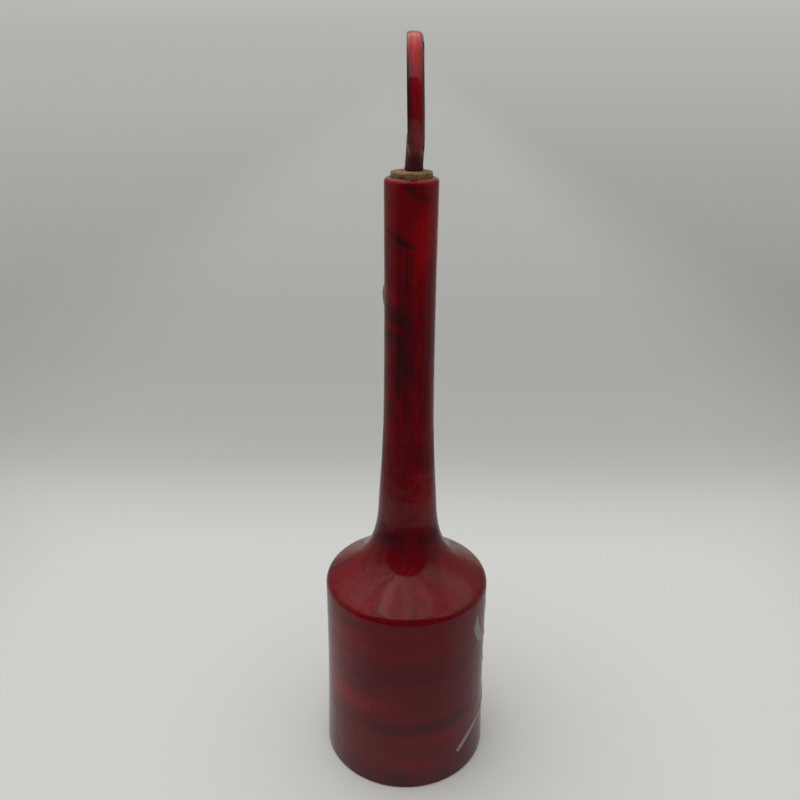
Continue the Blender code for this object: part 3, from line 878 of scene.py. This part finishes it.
def makeStopperGlaze():
    material, tree, shader = newMaterial("stopperRedGlaze")
    position = addNode(tree, "ShaderNodeTexCoord").outputs["Object"]
    parts = addNode(tree, "ShaderNodeSeparateXYZ", {"Vector": position}).outputs
    low, high = stopperTones[0][0], stopperTones[-1][0]
    share = sums(tree, "DIVIDE", sums(tree, "SUBTRACT", parts["Z"], low * mm), (high - low) * mm)
    tones = ramp(tree, share, [((height - low) / (high - low), tone) for height, tone in stopperTones])
    way = vectorSums(tree, "MULTIPLY", position, stopperGlaze["streakScale"])
    streaks = placeGroup(tree, groups["hairs"], {"Vector": way, "Scale": 1.0, "Ragged": 0.4})["Mask"]
    lighter = fade(tree, streaks, *stopperGlaze["streakOver"], stopperGlaze["streakDark"],
                   stopperGlaze["streakLight"])
    tones = blendColours(tree, 1.0, tones, lighter, "MULTIPLY")

    # painted shade and grey reflection along both edges of the disc's rim, where it rounds away from the
    # light
    slope = math.tan(math.radians(stopper["lean"]))
    rise = sums(tree, "SUBTRACT", parts["Z"], stopper["centre"][2] * mm)
    across = sums(tree, "SUBTRACT", sums(tree, "SUBTRACT", parts["X"], stopper["centre"][0] * mm),
                  sums(tree, "MULTIPLY", rise, slope))
    leftEdge = fade(tree, across, *[place * mm for place in stopperGlaze["leftEdge"]], 1.0, 0.0)
    rightEdge = fade(tree, across, *[place * mm for place in stopperGlaze["rightEdge"]])
    lessFrom, lessFull, left = stopperGlaze["leftLess"]
    leftEdge = sums(tree, "MULTIPLY", leftEdge, fade(tree, parts["Z"], lessFrom, lessFull, 1.0, left))
    middle = [place * mm for place in stopper["centre"]]
    fromMiddle = vectorSums(tree, "SUBTRACT", position, middle)
    fromMiddle = vectorSums(tree, "MULTIPLY", fromMiddle, (0.0, 1.0, 1.0))
    outside = fade(tree, vectorSums(tree, "LENGTH", fromMiddle, (0.0, 0.0, 0.0)),
                   *[radius * mm for radius in stopperGlaze["rimRadii"]])
    onRim = sums(tree, "MULTIPLY", sums(tree, "MULTIPLY", outside, stopperGlaze["edgeShare"]),
                 fade(tree, parts["Z"], *stopperGlaze["rimFrom"]))
    tones = blendColours(tree, sums(tree, "MULTIPLY", leftEdge, onRim), tones, stopperGlaze["leftTone"])
    tones = blendColours(tree, sums(tree, "MULTIPLY", rightEdge, onRim), tones, stopperGlaze["rightTone"])
    tree.links.new(tones, shader.inputs["Base Color"])
    rough = fade(tree, parts["Z"], *stopperGlaze["roughUntil"], stopperGlaze["roughest"],
                 stopperGlaze["smoothest"])
    tree.links.new(rough, shader.inputs["Roughness"])
    addBump(tree, shader, stopperGlaze["bumpStrength"], stopperGlaze["bumpDepth"], streaks)
    shader.inputs["Specular IOR Level"].default_value = 0.4
    return material


# The cork

cork = {
    "radius": 11.75, "endRadius": 11.2, "top": 396.2, "bottom": 366.2, "chamfer": 0.4, "steps": 128,
}


def makeCork(material):
    size = {key: value * mm for key, value in cork.items()}
    rim = bottle["rimHeight"] * mm - bottle["lipInnerRound"] * mm
    outline = [Vector((size["radius"] * share, size["top"])) for share in (0.0, 0.25, 0.5, 0.75)]
    outline += roundCorner((size["radius"] - size["chamfer"], size["top"] - size["chamfer"]),
                           size["chamfer"], 90.0, 0.0, 4)
    outline += [Vector((size["radius"], size["top"] + (rim - size["top"]) * share))
                for share in (0.4, 0.7, 1.0)]
    outline += [Vector((size["endRadius"], size["bottom"] + size["chamfer"]))]
    outline += [Vector((size["endRadius"] - size["chamfer"], size["bottom"])), Vector((0.0, size["bottom"]))]
    piece = turnOutline("corkPlug", outline, cork["steps"])
    piece.data.materials.append(material)
    smoothShade(piece, 40.0)
    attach(piece, "root")
    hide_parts("cork")
    print("cork turned:", len(piece.data.polygons), "faces")
    return piece


corkBark = {
    "cellScale": 900.0, "blotchScale": 420.0, "cellShare": 0.4,
    # colour by blotch, from the pits to the pale crumb
    "tones": [(0.30, (0.10, 0.045, 0.018)), (0.44, (0.27, 0.155, 0.070)),
              (0.56, (0.34, 0.21, 0.11)), (0.70, (0.52, 0.38, 0.24))],
    # painted light and shade: the top face lighter and the side darker, as light falls from above; shadeFrom
    # and shadeUntil in mm below the top
    "sideShade": 0.74, "topShade": 1.30, "shadeFrom": 0.8, "shadeUntil": 0.1,
    "bumpStrength": 0.5, "bumpDepth": 0.0004,
}


def makeCorkBark():
    material, tree, shader = newMaterial("corkBark")
    position = addNode(tree, "ShaderNodeTexCoord").outputs["Object"]
    cells = addNode(tree, "ShaderNodeTexVoronoi", {"Vector": position, "Scale": corkBark["cellScale"]})
    blotches = noise(tree, position, corkBark["blotchScale"], 4.0, 0.65)
    tones = ramp(tree, blotches, corkBark["tones"])
    height = addNode(tree, "ShaderNodeSeparateXYZ", {"Vector": position}).outputs["Z"]
    # painted light on the top face, painted shade down the side
    shade = fade(tree, height, (cork["top"] - corkBark["shadeFrom"]) * mm,
                 (cork["top"] - corkBark["shadeUntil"]) * mm, corkBark["sideShade"], corkBark["topShade"])
    tree.links.new(blendColours(tree, 1.0, tones, shade, "MULTIPLY"), shader.inputs["Base Color"])
    relief = sums(tree, "MULTIPLY_ADD", cells.outputs["Distance"], corkBark["cellShare"], blotches)
    addBump(tree, shader, corkBark["bumpStrength"], corkBark["bumpDepth"], relief)
    shader.inputs["Roughness"].default_value = 0.85
    shader.inputs["Specular IOR Level"].default_value = 0.25
    return material


# Silver slip strokes: smoothed copies of the solid beads, sunk a little into the glaze

silver = {
    "grainScale": 1400.0, "tones": [(0.30, (0.24, 0.23, 0.22)), (0.70, (0.40, 0.39, 0.37))],
    "bumpStrength": 0.25, "bumpDepth": 0.0002,
}

strokes = {
    "nodes": [name for name in sorted(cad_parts) if name.startswith("stroke_")],
    "smoothing": 2,
    # how deep they lie, and how much some swell first, of which this share goes deeper too
    "sunk": 0.40,
    "fuller": {"stroke_stem": 1.0, "stroke_curl_1": 0.45}, "fullerDeeper": 0.7,
    # the foot of each bead stays crisp where it meets the glaze
    "footFrom": 40.0, "footCrease": 0.85,
}


def makeSilver():
    material, tree, shader = newMaterial("silverSlip")
    position = addNode(tree, "ShaderNodeTexCoord").outputs["Object"]
    grain = noise(tree, position, silver["grainScale"], 4.0, 0.6)
    tree.links.new(ramp(tree, grain, silver["tones"]), shader.inputs["Base Color"])
    addBump(tree, shader, silver["bumpStrength"], silver["bumpDepth"], grain)
    shader.inputs["Metallic"].default_value = 0.35
    shader.inputs["Roughness"].default_value = 0.40
    return material


def sinkStroke(name):
    # the solid beads stand clear of the glaze; these lie in it
    low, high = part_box(name)
    middle = (Vector(low) + Vector(high)) / 2.0
    fuller = strokes["fuller"].get(name, 0.0)
    bpy.ops.transform.shrink_fatten(value=fuller * mm)
    sunk = strokes["sunk"] * mm + fuller * mm * strokes["fullerDeeper"]
    if name.startswith("stroke_disc"):
        bpy.ops.transform.translate(value=stopperFrame().to_3x3() @ Vector((-sunk, 0.0, 0.0)))
    else:
        radius = Vector((middle.x, middle.y, 0.0)).length
        share = 1.0 - sunk / radius
        bpy.ops.transform.resize(value=(share, share, 1.0), center_override=(0.0, 0.0, middle.z))


def makeStrokes(material):
    for name in strokes["nodes"]:
        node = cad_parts[name]
        piece = node.copy()
        piece.data = node.data.copy()
        piece.name = "silver_" + name.replace("stroke_", "")
        bpy.context.scene.collection.objects.link(piece)
        piece.parent = None
        for key in [key for key in piece.keys() if key.startswith("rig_")]:
            del piece[key]
        piece.matrix_world = Matrix.Identity(4)
        onlyThis(piece)
        bpy.ops.object.mode_set(mode="EDIT")
        cleanShell(0.00001)
        bpy.ops.mesh.tris_convert_to_quads()
        sinkStroke(name)
        bpy.ops.mesh.select_mode(type="EDGE")
        bpy.ops.mesh.select_all(action="DESELECT")
        bpy.ops.mesh.edges_select_sharp(sharpness=math.radians(strokes["footFrom"]))
        bpy.ops.transform.edge_crease(value=strokes["footCrease"])
        bpy.ops.object.mode_set(mode="OBJECT")
        smoother = piece.modifiers.new("smoother", "SUBSURF")
        smoother.levels = strokes["smoothing"]
        smoother.render_levels = strokes["smoothing"]
        applyModifiers(piece)
        piece.data.materials.clear()
        piece.data.materials.append(material)
        smoothShade(piece, 60.0)
        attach(piece, "root")
        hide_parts(name)
    print("strokes smoothed:", len(strokes["nodes"]))


makeCamera()
makeStudio()
makeBottle(makeGlaze())
makeStopper(makeStopperGlaze())
makeCork(makeCorkBark())
makeStrokes(makeSilver())
